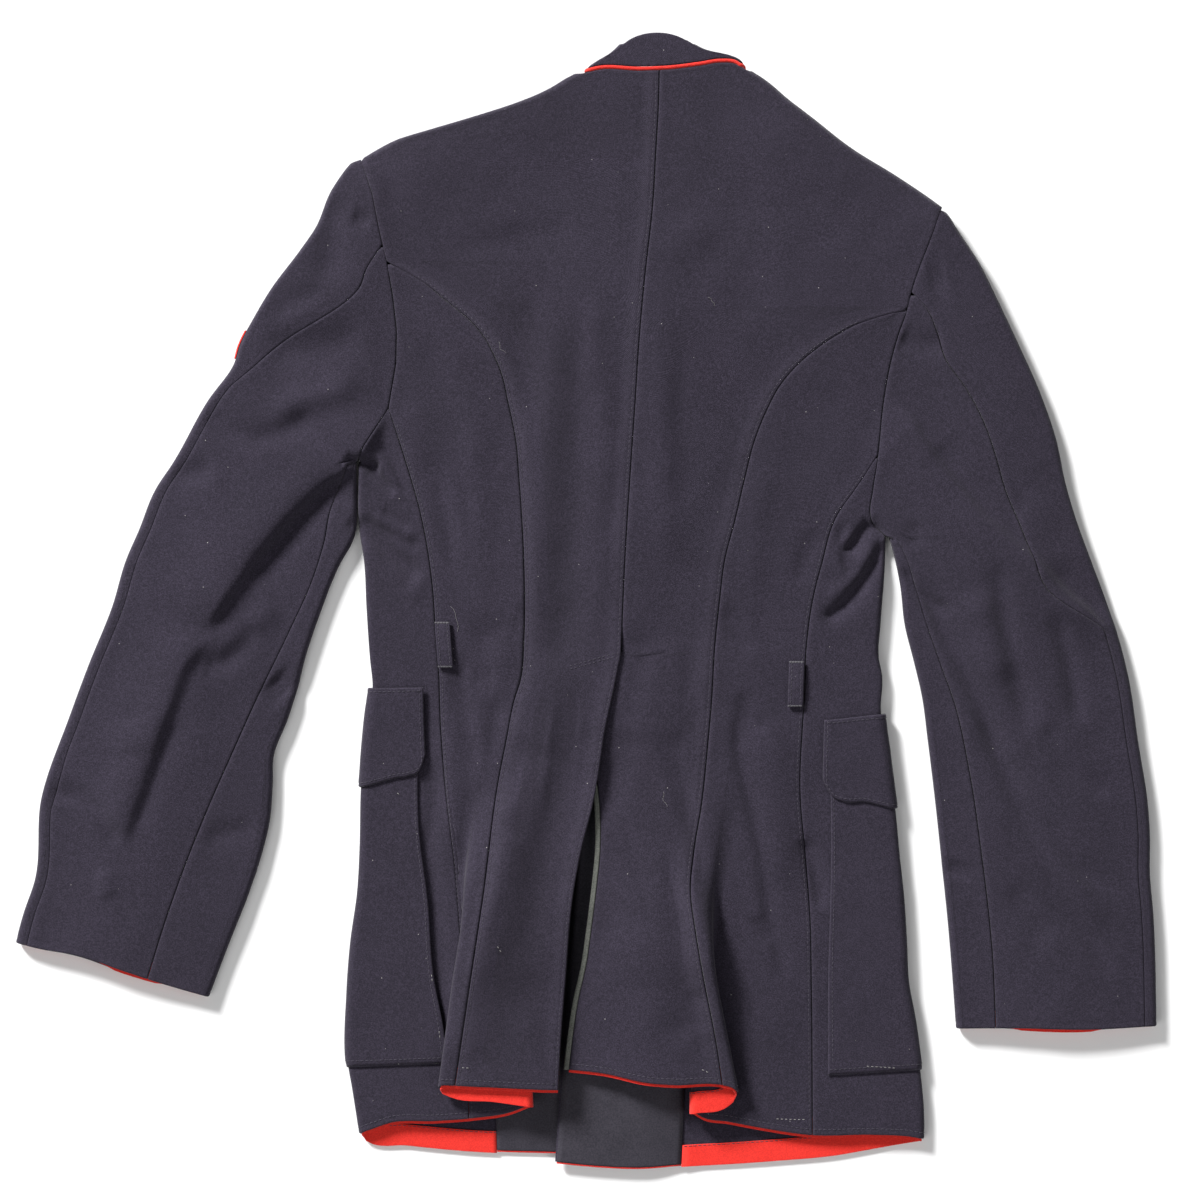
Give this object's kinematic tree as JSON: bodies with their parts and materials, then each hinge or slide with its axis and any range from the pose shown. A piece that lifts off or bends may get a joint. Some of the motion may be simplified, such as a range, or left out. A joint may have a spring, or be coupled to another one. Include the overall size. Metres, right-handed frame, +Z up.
{
  "type": "military dress tunic",
  "caption": "Dark navy wool dress tunic laid flat with its back up: standing collar with red piping, curved back seams, a centre vent, side pockets with flaps and a red band inside the hem.",
  "frame": {"origin": "on the surface that the tunic lies on, under the middle of its bounding box", "axes": "+Z up from the surface, out of the garment's back; +Y towards the collar; +X towards the wearer's right side"},
  "size_m": [0.9026, 0.8968, 0.0292],
  "materials": {
    "navy_wool": "fine wool twill with a soft raised nap",
    "red_cloth": "matt woven red cloth",
    "dark_facing": "plain dark weave",
    "plain_brass": "smooth, lightly polished"
  },
  "bodies": {
    "root": {"back_left": "navy_wool", "back_right": "navy_wool", "side_back_left": "navy_wool", "side_back_right": "navy_wool", "front_left": "navy_wool", "front_right": "navy_wool", "top_sleeve_left": "navy_wool", "top_sleeve_right": "navy_wool", "under_sleeve_left": "navy_wool", "under_sleeve_right": "navy_wool", "pocket_left": "navy_wool", "pocket_right": "navy_wool", "flap_left": "navy_wool", "flap_right": "navy_wool", "belt_loop_left": "navy_wool", "belt_loop_right": "navy_wool", "collar": "navy_wool", "collar_piping": "red_cloth", "hem_band_left": "red_cloth", "hem_band_right": "red_cloth", "cuff_band_left": "red_cloth", "cuff_band_right": "red_cloth", "vent_binding": "dark_facing", "front_facing_left": "dark_facing", "front_facing_right": "dark_facing", "button_1": "plain_brass", "button_2": "plain_brass", "button_3": "plain_brass", "button_4": "plain_brass", "button_5": "plain_brass"}
  },
  "joints": []
}
